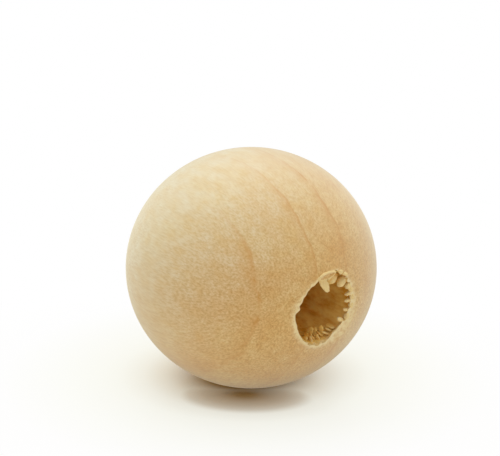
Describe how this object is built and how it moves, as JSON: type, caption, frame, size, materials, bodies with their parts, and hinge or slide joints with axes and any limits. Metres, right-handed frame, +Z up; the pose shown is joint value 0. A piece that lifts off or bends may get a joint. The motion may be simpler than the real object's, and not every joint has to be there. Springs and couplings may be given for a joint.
{
  "type": "wooden bead",
  "caption": "Round natural wood bead with a bore drilled through it for a cord. The rim is torn where the drill broke out.",
  "frame": {"origin": "the lowest point, where the bead touches the table as it lies on its side, under its middle", "axes": "+Z up, +Y along the bore away from the torn mouth, +X level across the bore"},
  "size_m": [0.012, 0.0114, 0.0114],
  "materials": {
    "wood": "matt, bare, sanded"
  },
  "bodies": {
    "root": {"bead": "wood"}
  },
  "joints": []
}
